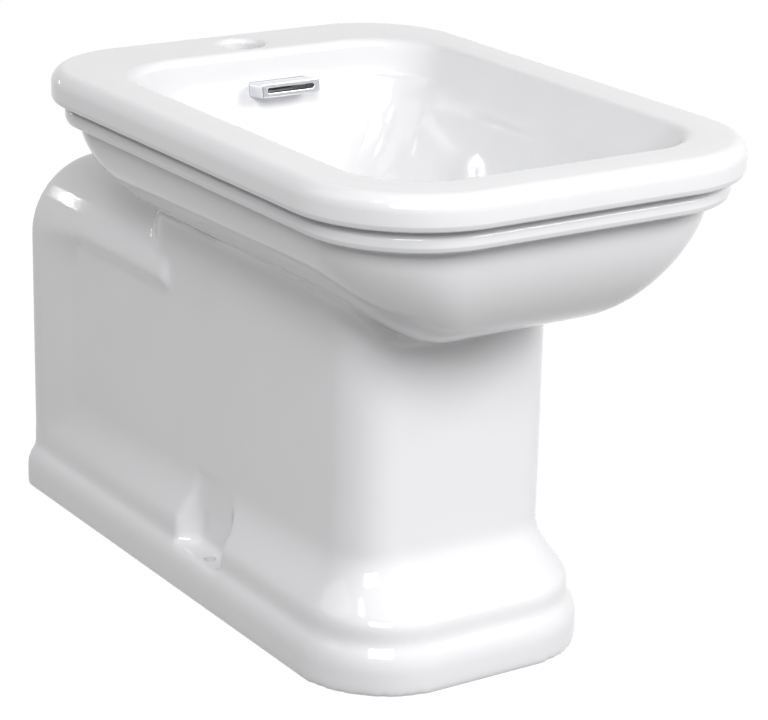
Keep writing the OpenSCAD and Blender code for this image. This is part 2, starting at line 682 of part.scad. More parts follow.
module stem_nut() {
    color("goldenrod") at_outlet(plug_z - nut_t) difference() {
        cylinder(d = stem_d + 7, h = nut_t, $fn = 6);
        translate([0, 0, -1]) cylinder(d = stem_d + 2 * play, h = nut_t + 2);
    }
}
cap_rise = 4;
module plug_cap() {
    color("silver") at_outlet(plug_z) rotate_extrude()
        polygon(concat([[0, 0], [cap_d / 2 - 1.5, 0], [cap_d / 2, 1]],
            [for (a = [0:12:84]) [cap_d / 2 * pow(cos(a), 0.8), 2 + cap_rise * sin(a)]],
            [[0, 2 + cap_rise]]));
}
module plug_seal() {
    color("dimgray") at_outlet(flange_top + fit) difference() {
        cylinder(d = dish_d + 8, h = plug_seal_t);
        translate([0, 0, -1]) cylinder(d = body_bore - 6, h = 3);
    }
}

ceramic_body();
overflow_cover();
overflow_insert();
overflow_seal();
waste_body();
waste_flange_seal();
outlet_gasket();
slip_washer();
back_nut();
cartridge_barrel();
cartridge_cap();
cartridge_spring();
plug_stem();
stem_nut();
plug_cap();
plug_seal();
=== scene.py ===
"""Back-to-wall bidet in glazed ceramic: fine surfaces, finishes, studio light and camera.

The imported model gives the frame, in metres: X is the width, the front faces -Y, the wall is
at +Y and the floor is at z = 0. Sizes of pieces are in millimetres, as on a workshop drawing,
and become metres where a mesh is made. Places in the studio are in metres.
"""
from __future__ import annotations

import logging
import math
from dataclasses import astuple, dataclass, replace
from enum import Enum
from typing import Callable, Iterable, Sequence

import bmesh
import bpy
from mathutils import Matrix, Quaternion, Vector

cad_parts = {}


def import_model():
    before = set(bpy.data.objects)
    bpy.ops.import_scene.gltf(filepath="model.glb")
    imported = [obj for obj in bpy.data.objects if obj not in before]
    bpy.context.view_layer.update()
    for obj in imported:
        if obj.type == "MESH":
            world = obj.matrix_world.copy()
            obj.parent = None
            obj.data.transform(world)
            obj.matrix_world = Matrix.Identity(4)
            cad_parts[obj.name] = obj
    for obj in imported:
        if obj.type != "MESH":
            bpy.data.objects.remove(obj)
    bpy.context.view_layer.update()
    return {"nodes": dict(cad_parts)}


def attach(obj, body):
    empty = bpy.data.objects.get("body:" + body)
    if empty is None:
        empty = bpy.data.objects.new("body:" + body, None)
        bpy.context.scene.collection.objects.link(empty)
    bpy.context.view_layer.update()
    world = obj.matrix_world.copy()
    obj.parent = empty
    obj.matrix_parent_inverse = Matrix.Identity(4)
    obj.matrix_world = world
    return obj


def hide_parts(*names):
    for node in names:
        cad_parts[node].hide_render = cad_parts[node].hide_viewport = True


log = logging.getLogger("bidet")

MM = 0.001
MERGE = 1e-6  # points nearer than this, in metres, become one
SLIVER = 1e-7  # edges shorter than this, in metres, are dissolved
SIDES = (1.0, -1.0)  # right and left
Point = tuple[float, float, float]
Profile = list[tuple[float, float]]
Piece = bpy.types.Object
Socket = bpy.types.NodeSocket


class Cut(Enum):
    """The two ways in which one solid works on another."""

    TAKE_AWAY = "DIFFERENCE"
    JOIN = "UNION"


class Body(Enum):
    """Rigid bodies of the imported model."""

    HOUSING = "housing"
    PLUG = "plug"


class Slot(Enum):
    """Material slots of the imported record."""

    GLAZE = "glaze"
    CHROME = "chrome"
    BRASS = "plated_brass"
    RUBBER = "black_rubber"
    PLASTIC = "white_plastic"
    STEEL = "spring_steel"


# Modelling with Blender's own operators

def clear() -> None:
    """Leaves edit mode and deselects everything."""
    if bpy.context.object and bpy.context.object.mode != "OBJECT":
        bpy.ops.object.mode_set(mode="OBJECT")
    bpy.ops.object.select_all(action="DESELECT")


def pick(piece: Piece) -> None:
    """Makes one piece the only selected and active one.

    Args:
        piece: The piece to work on next.
    """
    clear()
    piece.select_set(True)
    bpy.context.view_layer.objects.active = piece


def open_circle(name: str, corners: int) -> Piece:
    """Adds a circle to be shaped into a piece and opens it for editing.

    Args:
        name: Name of the new piece.
        corners: Corners of the circle.

    Returns:
        The circle, in edit mode and selected all over.
    """
    clear()
    bpy.ops.mesh.primitive_circle_add(vertices=corners, radius=0.1)
    piece = bpy.context.object
    piece.name = piece.data.name = name
    bpy.ops.object.mode_set(mode="EDIT")
    return piece


def face_out() -> None:
    """Turns all faces outwards and leaves edit mode."""
    bpy.ops.mesh.select_all(action="SELECT")
    bpy.ops.mesh.normals_make_consistent(inside=False)
    bpy.ops.object.mode_set(mode="OBJECT")


def loft(name: str, rings: Sequence[Sequence[Point]], closed_ends: bool = True) -> Piece:
    """Draws a skin through rings by extruding a circle from one ring to the next.

    Args:
        name: Name of the new piece.
        rings: Rings of equally many points, in millimetres.
        closed_ends: Whether the first and the last ring get a face.

    Returns:
        The lofted piece, with its faces pointing outwards.
    """
    piece = open_circle(name, len(rings[0]))
    work = bmesh.from_edit_mesh(piece.data)
    work.verts.ensure_lookup_table()
    current = [vert.index for vert in work.verts]
    for index, at in zip(current, rings[0]):
        work.verts[index].co = Vector(at) * MM
    if closed_ends:
        bpy.ops.mesh.edge_face_add()
        for face in work.faces:
            face.select_set(False)
        for edge in work.edges:
            edge.select_set(True)
    for ring in rings[1:]:
        bpy.ops.mesh.extrude_edges_move()
        work = bmesh.from_edit_mesh(piece.data)
        work.verts.ensure_lookup_table()
        following = []
        for index, at in zip(current, ring):
            old = work.verts[index]
            ends = (edge.other_vert(old) for edge in old.link_edges)
            fresh = next(vert for vert in ends if vert.select)
            fresh.co = Vector(at) * MM
            following.append(fresh.index)
        work.verts.index_update()
        current = following
    if closed_ends:
        bpy.ops.mesh.edge_face_add()
    face_out()
    return piece


def ring_loft(name: str, rings: Sequence[Sequence[Point]]) -> Piece:
    """Draws a skin through rings and back to the first one, as round a sleeve.

    Args:
        name: Name of the new piece.
        rings: Rings of equally many points, in millimetres.

    Returns:
        The closed piece.
    """
    piece = loft(name, [*rings, rings[0]], closed_ends=False)
    bpy.ops.object.mode_set(mode="EDIT")
    bpy.ops.mesh.select_all(action="SELECT")
    bpy.ops.mesh.remove_doubles(threshold=MERGE)
    face_out()
    return piece


def lathe(name: str, profile: Profile, axis: Point, steps: int = 96) -> Piece:
    """Spins a closed profile round an upright axis.

    Args:
        name: Name of the new piece.
        profile: Corners (radius, height) of the section, in millimetres.
        axis: A point on the axis, in millimetres. Its height is the profile's zero.
        steps: Facets of a full turn.

    Returns:
        The turned piece.
    """
    piece = open_circle(name, len(profile))
    work = bmesh.from_edit_mesh(piece.data)
    work.verts.ensure_lookup_table()
    for vert, (radius, height) in zip(work.verts, profile):
        vert.co = Vector((axis[0] + radius, axis[1], axis[2] + height)) * MM
    bmesh.update_edit_mesh(piece.data)
    bpy.ops.mesh.select_all(action="SELECT")
    bpy.ops.mesh.spin(steps=steps, angle=math.tau, center=Vector(axis) * MM,
                      axis=(0, 0, 1), dupli=False)
    bpy.ops.mesh.select_all(action="SELECT")
    bpy.ops.mesh.remove_doubles(threshold=MERGE)
    bpy.ops.mesh.dissolve_degenerate(threshold=SLIVER)
    face_out()
    return piece


def modify(piece: Piece, kind: str, **settings: object) -> None:
    """Adds one modifier and applies it.

    Args:
        piece: The piece that changes.
        kind: The modifier's type.
        **settings: Its properties.
    """
    pick(piece)
    modifier = piece.modifiers.new(kind.lower(), kind)
    for key, value in settings.items():
        setattr(modifier, key, value)
    bpy.ops.object.modifier_apply(modifier=modifier.name)


def work_on(piece: Piece, how: Cut, *tools: Piece) -> None:
    """Joins tools to a piece or takes them away from it, one after the other.

    Args:
        piece: The piece that changes.
        how: What the tools do.
        *tools: The solids that work on it, which are used up.
    """
    for tool in tools:
        modify(piece, "BOOLEAN", operation=how.value, object=tool, solver="MANIFOLD")
        bpy.data.objects.remove(tool, do_unlink=True)


def smooth(piece: Piece, angle: float) -> None:
    """Shades a piece smooth, with edges sharper than the angle left crisp."""
    pick(piece)
    bpy.ops.object.shade_smooth_by_angle(angle=math.radians(angle), keep_sharp_edges=True)


# Rings and profiles

def mix(a: float, b: float, t: float) -> float:
    """The value that lies the share t of the way from a to b."""
    return a + (b - a) * t


def soft_step(t: float) -> float:
    """Steps from 0 to 1 with a soft start and end."""
    u = min(max(t, 0.0), 1.0)
    return u * u * (3.0 - 2.0 * u)


def quarter(steps: int) -> list[float]:
    """The angles of a quarter turn in equal steps, in radians."""
    return [math.pi / 2.0 * i / steps for i in range(steps + 1)]


@dataclass(frozen=True)
class Ring:
    """A rounded rectangle in plan, with its own heights at the sides, the front and the rear.

    Half widths, y of the front and rear edges, corner radii and heights, in millimetres.
    """

    half_front: float
    half_rear: float
    front: float
    rear: float
    r_front: float
    r_rear: float
    z_side: float
    z_front: float
    z_rear: float

    @staticmethod
    def flat(half: float, front: float, rear: float, r_front: float, r_rear: float,
             z: float) -> "Ring":
        """A ring that lies level and is as wide at its front as at its rear."""
        return Ring(half, half, front, rear, r_front, r_rear, z, z, z)

    def towards(self, other: "Ring", plan: float, height: float) -> "Ring":
        """A ring between this one and another, with one share in plan and one in height."""
        shares = [plan] * 6 + [height] * 3
        return Ring(*map(mix, astuple(self), astuple(other), shares))

    def points(self, corner: int, run: int) -> list[Point]:
        """Walks round the ring from the start of its right front corner.

        Args:
            corner: Steps of each corner.
            run: Steps of each straight run between two corners.

        Returns:
            The ring's points, counter-clockwise seen from above.
        """
        rf, rr, z_front, z_rear = self.r_front, self.r_rear, self.z_front, self.z_rear
        half_front, half_rear = self.half_front - rf, self.half_rear - rr
        front, rear = self.front + rf, self.rear - rr
        centres = ((half_front, front, rf, z_front, False), (half_rear, rear, rr, z_rear, True),
                   (-half_rear, rear, rr, z_rear, False), (-half_front, front, rf, z_front, True))
        arcs = []
        for turn, (x, y, r, z, away) in enumerate(centres, -1):
            arc = []
            for i in range(corner + 1):
                a = math.radians(90.0 * turn + 90.0 * i / corner)
                t = i / corner if away else 1.0 - i / corner
                arc.append((x + r * math.cos(a), y + r * math.sin(a),
                            mix(self.z_side, z, soft_step(t))))
            arcs.append(arc)
        out: list[Point] = []
        for k, points in enumerate(arcs):
            out += points
            a, b = points[-1], arcs[(k + 1) % 4][0]
            out += [tuple(mix(p, q, i / run) for p, q in zip(a, b)) for i in range(1, run)]
        return out


def flowing(rings: Sequence[Ring], steps: int = 4) -> list[Ring]:
    """Draws a smooth course through rings, as a spline batten through its ducks.

    Args:
        rings: Rings on the course.
        steps: New rings for each interval.

    Returns:
        The finer list of rings, from the first to the last one given.
    """
    least_gap = 0.5
    last = len(rings) - 1
    cards = [astuple(ring) for ring in rings]
    places = [0.0]
    for a, b in zip(rings, rings[1:]):
        at_side = math.hypot(b.half_front - a.half_front, b.z_side - a.z_side)
        at_front = math.hypot(b.front - a.front, b.z_front - a.z_front)
        places.append(places[-1] + math.sqrt(max(at_side, at_front, least_gap)))
    slopes = []
    for k in range(last + 1):
        low, high = max(k - 1, 0), min(k + 1, last)
        gap = places[high] - places[low]
        slopes.append([(q - p) / gap for p, q in zip(cards[low], cards[high])])
    out = [rings[0]]
    for k in range(last):
        t0, t1 = places[k], places[k + 1]
        for i in range(1, steps + 1):
            u, h = (mix(t0, t1, i / steps) - t0) / (t1 - t0), t1 - t0
            here, leave = 2 * u**3 - 3 * u**2 + 1, (u**3 - 2 * u**2 + u) * h
            there, arrive = -2 * u**3 + 3 * u**2, (u**3 - u**2) * h
            out.append(Ring(*[
                here * p + leave * m + there * q + arrive * n
                for p, m, q, n in zip(cards[k], slopes[k], cards[k + 1], slopes[k + 1])]))
    return out


def behind(skin: Sequence[Ring], k: int, reach: int, wall: float,
           corner: Callable[[float], float]) -> Ring:
    """The ring one wall's thickness behind a skin.

    Args:
        skin: The skin's rings.
        k: Which ring of the skin.
        reach: How many rings away its neighbours lie that give the skin's slope.
        wall: Thickness of the wall.
        corner: Gives the new corner radius for the skin's own.

    Returns:
        The ring on the wall's other face.
    """
    here, last = skin[k], len(skin) - 1
    before, after = skin[max(k - reach, 0)], skin[min(k + reach, last)]
    moved = {}
    for across, up, sign in (("half_front", "z_side", 1.0), ("front", "z_front", -1.0),
                             ("rear", "z_rear", 1.0)):
        dx = sign * (getattr(after, across) - getattr(before, across))
        dz = getattr(after, up) - getattr(before, up)
        length = max(math.hypot(dx, dz), MERGE)
        moved[across] = getattr(here, across) - sign * wall * dz / length
        moved[up] = getattr(here, up) + wall * dx / length
    return replace(here, half_rear=moved["half_front"], r_front=corner(here.r_front),
                   r_rear=corner(here.r_rear), **moved)


def rounded(profile: Sequence[tuple[float, float, float]], steps: int = 6) -> Profile:
    """Rounds the corners of an open line.

    Args:
        profile: Corners as (across, up, radius of the rounding).
        steps: Steps of each rounding.

    Returns:
        Points of the rounded line.
    """
    straight, longest = math.pi - 0.02, 0.49
    out: Profile = [profile[0][:2]]
    for before, (x, z, r), after in zip(profile, profile[1:], profile[2:]):
        here = Vector((x, z))
        a, b = Vector(before[:2]) - here, Vector(after[:2]) - here
        turn = a.angle(b)
        if r <= 0.0 or turn > straight:
            out.append((x, z))
            continue
        reach = min(r / math.tan(turn / 2.0), a.length * longest, b.length * longest)
        start, end = here + a.normalized() * reach, here + b.normalized() * reach
        for i in range(steps + 1):
            t = i / steps
            out.append(tuple(start.lerp(here, t).lerp(here.lerp(end, t), t)))
    return [*out, profile[-1][:2]]


# Finishes

Colour = tuple[float, float, float]
WHITE = (1.0, 1.0, 1.0, 1.0)


class Nodes:
    """Places shader nodes one after the other and joins them."""

    def __init__(self, tree: bpy.types.NodeTree) -> None:
        """Keeps the tree that the nodes go into."""
        self.tree = tree

    @classmethod
    def fresh(cls, owner: bpy.types.Material | bpy.types.World) -> "Nodes":
        """Empties the tree of a new material or world.

        Args:
            owner: The material or world.

        Returns:
            A placer of nodes for its tree.
        """
        owner.use_nodes = True
        owner.node_tree.nodes.clear()
        return cls(owner.node_tree)

    def fill(self, socket: Socket, value: object) -> None:
        """Links a socket to another node's output, or sets its value.

        Args:
            socket: The socket to fill.
            value: The output or the value.
        """
        if isinstance(value, Socket):
            self.tree.links.new(value, socket)
        else:
            socket.default_value = value

    def add(self, kind: str, **settings: object) -> bpy.types.Node:
        """Adds a node. Settings that name a socket fill the socket, the others are properties.

        Args:
            kind: The node's type.
            **settings: Socket names with spaces as underscores, or properties.

        Returns:
            The new node.
        """
        node = self.tree.nodes.new(kind)
        for key, value in settings.items():
            name = key.replace("_", " ")
            if name in node.inputs:
                self.fill(node.inputs[name], value)
            else:
                setattr(node, key, value)
        return node

    def count(self, how: str, *terms: float | Socket) -> Socket:
        """Works out one value from others.

        Args:
            how: The sum to do.
            *terms: Its terms.

        Returns:
            The value's socket.
        """
        node = self.add("ShaderNodeMath", operation=how)
        for socket, term in zip(node.inputs, terms):
            self.fill(socket, term)
        return node.outputs["Value"]

    def tone(self, share: Socket, first: Colour | Socket, second: Colour) -> Socket:
        """Mixes two colours.

        Args:
            share: Share of the second one, which changes over the surface.
            first: The first colour, or where it comes from.
            second: The second colour.

        Returns:
            The mixed colour.
        """
        node = self.add("ShaderNodeMix", data_type="RGBA", Factor=share)
        colour_a, colour_b = node.inputs[6], node.inputs[7]
        self.fill(colour_a, first if isinstance(first, Socket) else (*first, 1.0))
        self.fill(colour_b, (*second, 1.0))
        return node.outputs[2]

    def seen_white(self, lit: Socket, white: Socket, share: float) -> Socket:
        """Shows white to the camera, and in metal and glass, where lamps light something else.

        Args:
            lit: The shader that other rays meet.
            white: The white shader.
            share: Share of the white one where it shows.

        Returns:
            The mixed shader.
        """
        path = self.add("ShaderNodeLightPath").outputs
        passed_on = self.count("MAXIMUM", path["Is Glossy Ray"], path["Is Transmission Ray"])
        seen = self.count("MAXIMUM", path["Is Camera Ray"], passed_on)
        node = self.add("ShaderNodeMixShader", Fac=self.count("MULTIPLY", seen, share))
        self.fill(node.inputs[1], lit)
        self.fill(node.inputs[2], white)
        return node.outputs["Shader"]


class Unevenness:
    """The slight wave that firing, casting or polishing leaves, as one shared node group."""

    NAME = "surface unevenness"
    SCALES = {"Wave Scale": 14.0, "Grain Scale": 260.0, "Spot Scale": 60.0}
    SPOT_SIZE = 0.05

    @classmethod
    def group(cls) -> bpy.types.ShaderNodeTree:
        """Builds the group once and returns it afterwards.

        Returns:
            A group with a wave value, a fine value and a mask of faint spots.
        """
        if cls.NAME in bpy.data.node_groups:
            return bpy.data.node_groups[cls.NAME]
        tree = bpy.data.node_groups.new(cls.NAME, "ShaderNodeTree")
        face = tree.interface
        for name, value in cls.SCALES.items():
            socket = face.new_socket(name=name, in_out="INPUT", socket_type="NodeSocketFloat")
            socket.default_value = value
        for name in ("Wave", "Grain", "Spots"):
            face.new_socket(name=name, in_out="OUTPUT", socket_type="NodeSocketFloat")
        nodes = Nodes(tree)
        scale = nodes.add("NodeGroupInput").outputs
        where = nodes.add("ShaderNodeTexCoord").outputs["Object"]
        wave = nodes.add("ShaderNodeTexNoise", Vector=where, Scale=scale["Wave Scale"],
                         Detail=1.5, Roughness=0.4)
        grain = nodes.add("ShaderNodeTexNoise", Vector=where, Scale=scale["Grain Scale"],
                          Detail=2.0, Roughness=0.55)
        cells = nodes.add("ShaderNodeTexVoronoi", feature="F1", Vector=where,
                          Scale=scale["Spot Scale"])
        spots = nodes.add("ShaderNodeMapRange", Value=cells.outputs["Distance"],
                          From_Min=cls.SPOT_SIZE, From_Max=0.0)
        nodes.add("NodeGroupOutput", Wave=wave.outputs["Fac"], Grain=grain.outputs["Fac"],
                  Spots=spots.outputs["Result"])
        return tree


@dataclass(frozen=True)
class Finish:
    """One finish: a base colour with a faint second tone, gloss that varies, and a soft wave.

    Colours are linear, scales are per metre and the depth of the bump is in metres.
    """

    name: str
    slot: Slot
    colour: Colour
    second: Colour
    metallic: float = 0.0
    rough_low: float = 0.1
    rough_high: float = 0.2
    coat: float = 0.0
    coat_rough: float = 0.03
    ior: float = 1.5
    wave_scale: float = 14.0
    grain_scale: float = 260.0
    spot_scale: float = 60.0
    wave_bump: float = 0.0
    grain_bump: float = 0.0
    bump_depth: float = 0.0002
    spot_colour: Colour | None = None
    spot_share: float = 0.0

    def material(self) -> bpy.types.Material:
        """Makes the finish once and returns it afterwards.

        Returns:
            The node material.
        """
        if self.name in bpy.data.materials:
            return bpy.data.materials[self.name]
        made = bpy.data.materials.new(self.name)
        nodes = Nodes.fresh(made)
        uneven = nodes.add("ShaderNodeGroup", node_tree=Unevenness.group(),
                           Wave_Scale=self.wave_scale, Grain_Scale=self.grain_scale,
                           Spot_Scale=self.spot_scale).outputs
        colour = nodes.tone(uneven["Wave"], self.colour, self.second)
        if self.spot_colour is not None:
            share = nodes.count("MULTIPLY", uneven["Spots"], self.spot_share)
            colour = nodes.tone(share, colour, self.spot_colour)
        gloss = nodes.add("ShaderNodeMapRange", Value=uneven["Grain"], From_Min=0.3, From_Max=0.7,
                          To_Min=self.rough_low, To_Max=self.rough_high)
        shader = nodes.add("ShaderNodeBsdfPrincipled", Base_Color=colour,
                           Roughness=gloss.outputs["Result"], Metallic=self.metallic,
                           IOR=self.ior, Coat_Weight=self.coat, Coat_Roughness=self.coat_rough)
        swell = nodes.count("MULTIPLY", uneven["Wave"], self.wave_bump)
        height = nodes.count("MULTIPLY_ADD", uneven["Grain"], self.grain_bump, swell)
        bump = nodes.add("ShaderNodeBump", Strength=1.0, Distance=self.bump_depth, Height=height)
        nodes.fill(shader.inputs["Normal"], bump.outputs["Normal"])
        nodes.add("ShaderNodeOutputMaterial", Surface=shader.outputs["BSDF"])
        return made

    def dress(self, piece: Piece) -> None:
        """Puts the finish on every slot of a piece.

        Args:
            piece: The piece to dress.
        """
        if not piece.data.materials:
            piece.data.materials.append(None)
        for place in piece.material_slots:
            place.material = self.material()


GLAZE = Finish("white glaze", Slot.GLAZE, (0.80, 0.80, 0.815), (0.835, 0.835, 0.85),
               rough_low=0.07, rough_high=0.11, coat=0.35, ior=1.52,
               wave_scale=16.0, grain_scale=420.0, wave_bump=0.35, grain_bump=0.03,
               bump_depth=0.0006, spot_scale=45.0, spot_colour=(0.62, 0.60, 0.57), spot_share=0.25)
CHROME = Finish("polished chrome", Slot.CHROME, (0.74, 0.75, 0.77), (0.80, 0.81, 0.83),
                metallic=1.0, rough_low=0.05, rough_high=0.1,
                wave_scale=60.0, grain_scale=900.0, wave_bump=0.12, grain_bump=0.02)
BRASS = Finish("plated brass", Slot.BRASS, (0.68, 0.50, 0.24), (0.74, 0.57, 0.30),
               metallic=1.0, rough_low=0.16, rough_high=0.28,
               wave_scale=90.0, grain_scale=1200.0, wave_bump=0.1, grain_bump=0.06)
RUBBER = Finish("black rubber", Slot.RUBBER, (0.022, 0.022, 0.024), (0.04, 0.04, 0.042),
                rough_low=0.55, rough_high=0.75,
                wave_scale=80.0, grain_scale=1500.0, wave_bump=0.2, grain_bump=0.3)
PLASTIC = Finish("moulded plastic", Slot.PLASTIC, (0.72, 0.72, 0.71), (0.78, 0.78, 0.77),
                 rough_low=0.3, rough_high=0.42,
                 wave_scale=70.0, grain_scale=1100.0, wave_bump=0.15, grain_bump=0.1)
STEEL = Finish("spring steel", Slot.STEEL, (0.42, 0.42, 0.43), (0.52, 0.52, 0.53),
               metallic=1.0, rough_low=0.2, rough_high=0.34, bump_depth=0.0001,
               wave_scale=200.0, grain_scale=2200.0, wave_bump=0.1, grain_bump=0.1)


def finish_piece(piece: Piece, finish: Finish, body: Body, stands_for: str) -> None:
    """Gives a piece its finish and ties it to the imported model.

    Args:
        piece: The finished piece.
        finish: What it is made of.
        body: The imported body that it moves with.
        stands_for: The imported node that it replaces.
    """
    finish.dress(piece)
    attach(piece, body.value)
    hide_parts(stands_for)
    log.info("%s: %d faces", piece.name, len(piece.data.polygons))


# Overflow and waste

@dataclass
class OverflowFrame:
    """Place and sizes of the overflow in the basin's rear wall, and its chromed cover.

    The overflow has a frame of its own: its origin lies on the seat in the basin's wall, its
    -y points out of the wall and it leans back with the wall.
    """

    origin: Point = (0.0, 105.0, 395.0)
    tilt: float = 8.0
    cover_w: float = 54.0
    cover_h: float = 11.5
    cover_l: float = 26.0
    cover_t: float = 2.0
    corner: float = 2.0
    inner_corner: float = 1.0
    edge: float = 0.9
    lip: float = 0.5
    back_edge: float = 0.3
    seal_t: float = 1.5
    slot_h: float = 4.0
    slot_in: float = 5.5
    hole_w: float = 30.0
    hole_h: float = 8.5
    seat_gap: float = 0.3
    seat_corner: float = 2.15

    def outline(self, size: tuple[float, float, float], y: float,
                inset: float = 0.0) -> list[Point]:
        """A rounded rectangle across the overflow's axis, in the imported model's frame.

        Args:
            size: Full width, full height and corner radius.
            y: Distance from the seat, negative out of the wall.
            inset: How far the rectangle stands in from this size all round.

        Returns:
            The outline's points.
        """
        width, height, radius = size[0] - 2.0 * inset, size[1] - 2.0 * inset, size[2] - inset
        lean, steps = math.radians(self.tilt), 8
        cx, cy, cz = self.origin
        out = []
        for turn, (sx, sz) in enumerate(((1, 1), (-1, 1), (-1, -1), (1, -1))):
            for i in range(steps + 1):
                a = math.pi / 2.0 * (turn + i / steps)
                x = sx * (width / 2.0 - radius) + radius * math.cos(a)
                z = sz * (height / 2.0 - radius) + radius * math.sin(a)
                out.append((cx + x, cy + y * math.cos(lean) + z * math.sin(lean),
                            cz - y * math.sin(lean) + z * math.cos(lean)))
        return out

    def build(self) -> None:
        """Makes the cover: a chromed block with soft edges, hollow, with a slot in its front."""
        back, front = -self.seal_t, -self.seal_t - self.cover_l
        w, h, t, lip, edge = self.cover_w, self.cover_h, self.cover_t, self.lip, self.edge
        block = (w, h, self.corner)
        inner = (w - 2.0 * t, h - 2.0 * t, self.inner_corner)
        slot = (w - 2.0 * self.slot_in, self.slot_h, self.slot_h / 2.0)
        rings = [self.outline(inner, back), self.outline(inner, front + t),
                 self.outline(slot, front + t)]
        rings += [self.outline(slot, front + lip * (1.0 - math.sin(a)), -lip * (1.0 - math.cos(a)))
                  for a in quarter(6)]
        rings += [self.outline(block, front + edge * (1.0 - math.cos(a)),
                               edge * (1.0 - math.sin(a))) for a in quarter(6)]
        rings += [self.outline(block, back + self.back_edge),
                  self.outline(block, back, self.back_edge)]
        cover = ring_loft("chrome_overflow_cover", rings)
        smooth(cover, 35.0)
        finish_piece(cover, CHROME, Body.HOUSING, "overflow_cover")


@dataclass
class Waste:
    """The waste: body with flange, thread, windows and spider, and the plug's domed cap.

    Heights count from the flange's seat in the outlet.
    """

    outlet: Point = (0.0, 10.0, 266.5)
    flange_r: float = 32.0
    flange_t: float = 2.5
    bore_r: float = 17.5
    thread_r: float = 20.95
    length: float = 96.0
    tail: float = 19.0
    pitch: float = 2.4
    thread_depth: float = 0.55
    dish_r: float = 24.0
    hub_r: float = 10.5
    hub_bore_r: float = 7.6
    spider_low: float = -46.0
    spider_h: float = 6.0
    arm_w: float = 3.0
    window_low: float = -28.5
    window_h: float = 10.0
    window_w: float = 12.0
    plug_r: float = 30.5
    plug_z: float = 3.8
    plug_edge: float = 2.0
    plug_rise: float = 4.0

    def thread(self) -> Profile:
        """The outer line of the tube from its free end up to the flange.

        Returns:
            The line, with a plain tail, a neck and rings for the thread.
        """
        t, low = self.thread_r, -self.length
        root, neck, tail = t - self.thread_depth, t - 1.0, self.tail - self.length
        line: Profile = [(self.bore_r, low), (neck, low), (t, 1.0 - self.length), (t, tail),
                         (neck, self.tail + 0.6 - self.length),
                         (neck, self.tail + 2.6 - self.length)]
        z = self.tail + 3.2 - self.length
        while z < -self.pitch - 1.0:
            line += [(root, z), (root, z + 0.25), (t, z + 0.45 * self.pitch),
                     (t, z + 0.62 * self.pitch)]
            z += self.pitch
        return [*line, (root, z), (root, 0.0)]

    def body(self) -> Piece:
        """Turns the body, cuts its windows and sets the spider in.

        Returns:
            The finished body.
        """
        f, top, low, high = (self.flange_r, self.flange_t, self.spider_low,
                             self.spider_low + self.spider_h)
        rim = rounded([(f - 1.5, 0.0, 0.0), (f, 0.0, 0.8), (f, 1.6, 1.2), (f - 2.6, top, 1.4),
                       (self.dish_r + 0.8, top, 1.2), (self.bore_r + 0.6, 0.5, 1.2),
                       (self.bore_r, -1.2, 0.0)], 5)
        body = lathe("chrome_waste_body", [*self.thread(), *rim], self.outlet, 128)
        work_on(body, Cut.TAKE_AWAY, *[self.window(45.0 + 90.0 * k) for k in range(4)])
        hub = [(self.hub_bore_r, low), (self.hub_r, low), (self.hub_r, high),
               (self.hub_bore_r, high)]
        arm = (self.hub_r - 0.8, self.bore_r + 1.0)
        work_on(body, Cut.JOIN, lathe("hub", hub, self.outlet),
                      *[self.bar(30.0 + 120.0 * k, arm, self.arm_w, (low + 0.5, high - 0.5))
                        for k in range(3)])
        return body

    def bar(self, turn: float, reach: tuple[float, float], width: float,
            span: tuple[float, float]) -> Piece:
        """A straight bar that points away from the waste's axis.

        Args:
            turn: Its direction, in degrees.
            reach: Its inner and outer end.
            width: Its width.
            span: Its lower and upper height.

        Returns:
            The bar.
        """
        a = math.radians(turn)
        near, far = reach
        x, y, z = self.outlet
        rings = []
        for up in span:
            ring = []
            for along, across in ((near, -1), (far, -1), (far, 1), (near, 1)):
                side = across * width / 2.0
                ring.append((x + along * math.cos(a) - side * math.sin(a),
                             y + along * math.sin(a) + side * math.cos(a), z + up))
            rings.append(ring)
        return loft("bar", rings)

    def window(self, turn: float) -> Piece:
        """The cutter for one window that lets the overflow's water in."""
        return self.bar(turn, (self.bore_r - 3.0, self.thread_r + 3.0), self.window_w,
                        (self.window_low, self.window_low + self.window_h))

    def plug(self) -> Piece:
        """Turns the plug's domed cap.

        Returns:
            The cap.
        """
        r, edge, fullness = self.plug_r, self.plug_edge, 0.8
        dome = [(r * math.cos(a) ** fullness, edge + self.plug_rise * math.sin(a))
                for a in (math.radians(3.0 * i) for i in range(29))]
        profile = [(0.0, 0.0), (r - 1.5, 0.0), (r - 0.5, 0.25), (r - 0.1, 0.8), *dome,
                   (0.0, edge + self.plug_rise)]
        x, y, z = self.outlet
        return lathe("chrome_plug_cap", profile, (x, y, z + self.plug_z), 128)

    def build(self) -> None:
        """Makes the waste's body and the plug's cap."""
        for piece, body, node in ((self.body(), Body.HOUSING, "waste_body"),
                                  (self.plug(), Body.PLUG, "plug_cap")):
            smooth(piece, 32.0)
            finish_piece(piece, CHROME, body, node)


# Pottery

